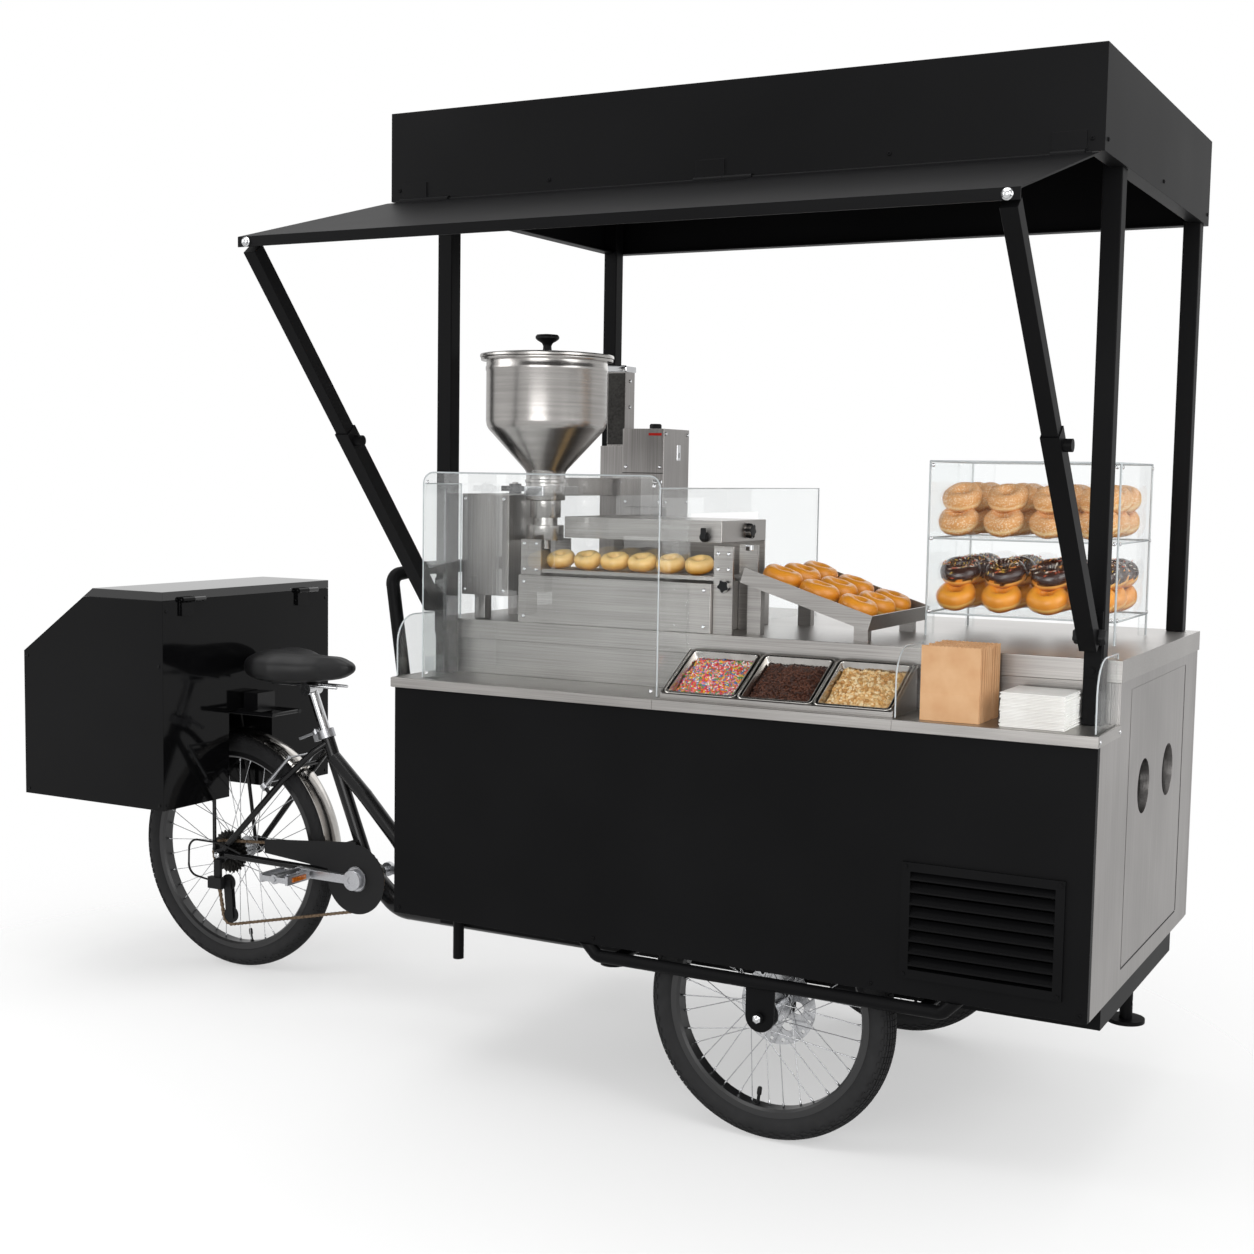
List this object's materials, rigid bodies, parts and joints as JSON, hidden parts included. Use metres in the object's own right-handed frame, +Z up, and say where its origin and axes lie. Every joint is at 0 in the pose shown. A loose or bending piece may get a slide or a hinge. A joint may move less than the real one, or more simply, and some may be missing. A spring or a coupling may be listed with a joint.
{
  "type": "bicycle food cart",
  "caption": "Bicycle food cart with a canopy, a doughnut machine on the counter, clear guards, a display case and a rear box.",
  "frame": {"origin": "on the ground under the middle of the outline", "axes": "+X along the ride from the bicycle half to the cart's nose, +Y away from the customers, +Z up"},
  "size_m": [2.773, 1.4452, 2.048],
  "materials": {
    "brushed_stainless": "brushed",
    "black_satin_paint": "satin",
    "black_plastic": "satin",
    "clear_acrylic": "clear gloss",
    "toppings": "grainy",
    "kraft_paper": "matte",
    "white_paper": "matte",
    "glazed_dough": "glazed",
    "sugared_dough": "sugared",
    "chocolate_icing": "glossy icing",
    "tyre_rubber": "matte",
    "black_rim": "satin anodised",
    "spoke_steel": "polished",
    "chrome": "polished",
    "silver_alloy": "satin",
    "chain_steel": "oiled",
    "black_saddle_cover": "satin",
    "black_gloss_panel": "gloss"
  },
  "bodies": {
    "cart": {"back_panel": "brushed_stainless", "end_panels": "brushed_stainless", "ledge": "brushed_stainless", "counter": "brushed_stainless", "topping_pans": "brushed_stainless", "hopper": "brushed_stainless", "drive_box": "brushed_stainless", "control_tower": "brushed_stainless", "fryer_tank": "brushed_stainless", "fryer_hood": "brushed_stainless", "conveyor": "brushed_stainless", "drain_tray": "brushed_stainless", "chassis": "black_satin_paint", "floor_pan": "black_satin_paint", "front_panel": "black_satin_paint", "vent_grille": "black_satin_paint", "push_bar": "black_satin_paint", "posts": "black_satin_paint", "canopy": "black_satin_paint", "struts": "black_satin_paint", "guards": "clear_acrylic", "display_case": "clear_acrylic", "toppings": "toppings", "paper_bags": "kraft_paper", "napkins": "white_paper", "glazed_doughnuts": "glazed_dough", "sugared_doughnuts": "sugared_dough", "iced_doughnuts": "chocolate_icing"},
    "bike": {"bike_frame": "black_satin_paint", "chain": "chain_steel", "chain_guard": "black_satin_paint", "derailleur": "black_satin_paint", "seat_clamp": "silver_alloy", "rear_brake": "silver_alloy", "mudguard": "chrome", "rack": "black_satin_paint", "rear_box": "black_gloss_panel"},
    "rear_wheel": {"rear_tyre": "tyre_rubber", "rear_rim": "black_rim", "rear_spokes": "spoke_steel"},
    "sprockets": {"cassette": "chain_steel"},
    "crank": {"crankset": "silver_alloy"},
    "near_foot": {"near_pedal": "silver_alloy"},
    "far_foot": {"far_pedal": "silver_alloy"},
    "seat": {"seat_post": "chrome", "saddle": "black_saddle_cover"},
    "seat_lever": {"clamp_lever": "silver_alloy"},
    "box_cover": {"rear_box_lid": "black_gloss_panel"},
    "near_wheel": {"near_tyre": "tyre_rubber", "near_rim": "black_rim", "near_spokes": "spoke_steel"},
    "far_wheel": {"far_tyre": "tyre_rubber", "far_rim": "black_rim", "far_spokes": "spoke_steel"},
    "door": {"end_door": "brushed_stainless"},
    "bowl_lid": {"hopper_lid": "brushed_stainless"},
    "hand_lever": {"drive_lever": "black_plastic"},
    "flap": {"awning_flap": "black_satin_paint"},
    "slides": {"strut_slides": "black_satin_paint"},
    "jack": {"nose_jack": "black_satin_paint"}
  },
  "joints": [
    {"name": "steering", "type": "hinge", "parent": "cart", "child": "bike", "pos_m": [0.1765, 0.25948, 0.25], "axis": [0, 0, 1], "range_deg": [-30, 30]},
    {"name": "rear_wheel_spin", "type": "hinge", "parent": "bike", "child": "rear_wheel", "pos_m": [-0.9535, 0.25948, 0.31], "axis": [0, 1, 0], "continuous": true},
    {"name": "crank_spin", "type": "hinge", "parent": "bike", "child": "crank", "pos_m": [-0.5235, 0.25948, 0.295], "axis": [0, 1, 0], "continuous": true},
    {"name": "near_pedal_spin", "type": "hinge", "parent": "crank", "child": "near_foot", "pos_m": [-0.6935, 0.13148, 0.295], "axis": [0, 1, 0], "continuous": true},
    {"name": "far_pedal_spin", "type": "hinge", "parent": "crank", "child": "far_foot", "pos_m": [-0.3535, 0.38748, 0.295], "axis": [0, 1, 0], "continuous": true},
    {"name": "cassette_spin", "type": "hinge", "parent": "bike", "child": "sprockets", "pos_m": [-0.9535, 0.21148, 0.31], "axis": [0, 1, 0], "continuous": true},
    {"name": "near_wheel_spin", "type": "hinge", "parent": "cart", "child": "near_wheel", "pos_m": [0.7495, -0.13652, 0.26], "axis": [0, 1, 0], "continuous": true},
    {"name": "far_wheel_spin", "type": "hinge", "parent": "cart", "child": "far_wheel", "pos_m": [0.7495, 0.65548, 0.26], "axis": [0, 1, 0], "continuous": true},
    {"name": "seat_height", "type": "slide", "parent": "bike", "child": "seat", "axis": [-0.3811, 0, 0.9245], "range_m": [-0.02, 0.04]},
    {"name": "clamp_lever_turn", "type": "hinge", "parent": "bike", "child": "seat_lever", "pos_m": [-0.69964, 0.25948, 0.64099], "axis": [-0.3811, 0, 0.9245], "range_deg": [0, 120]},
    {"name": "box_lid_hinge", "type": "hinge", "parent": "bike", "child": "box_cover", "pos_m": [-0.9055, 0.25948, 0.9862], "axis": [0, 1, 0], "range_deg": [0, 100]},
    {"name": "end_door_hinge", "type": "hinge", "parent": "cart", "child": "door", "pos_m": [1.3745, 0.56848, 0.659], "axis": [0, 0, 1], "range_deg": [0, 100]},
    {"name": "hopper_lid_lift", "type": "slide", "parent": "cart", "child": "bowl_lid", "axis": [0, 0, 1], "range_m": [0, 0.2]},
    {"name": "drive_lever_turn", "type": "hinge", "parent": "cart", "child": "hand_lever", "pos_m": [-0.0135, 0.10948, 1.276], "axis": [0, 0, 1], "range_deg": [0, 75]},
    {"name": "awning_fold", "type": "hinge", "parent": "cart", "child": "flap", "pos_m": [0.63, -0.24952, 1.864], "axis": [1, 0, 0], "range_deg": [0, 46]},
    {"name": "strut_slide", "type": "slide", "parent": "cart", "child": "slides", "axis": [0, 0.6477, -0.7619], "range_m": [0, 0.376]},
    {"name": "jack_drop", "type": "slide", "parent": "cart", "child": "jack", "axis": [0, 0, -1], "range_m": [0, 0.212]}
  ],
  "couplings": [
    {"joint": "cassette_spin", "follows": "crank_spin", "ratio": 2.5333},
    {"joint": "strut_slide", "follows": "awning_fold", "m_per_rad": 0.467}
  ]
}
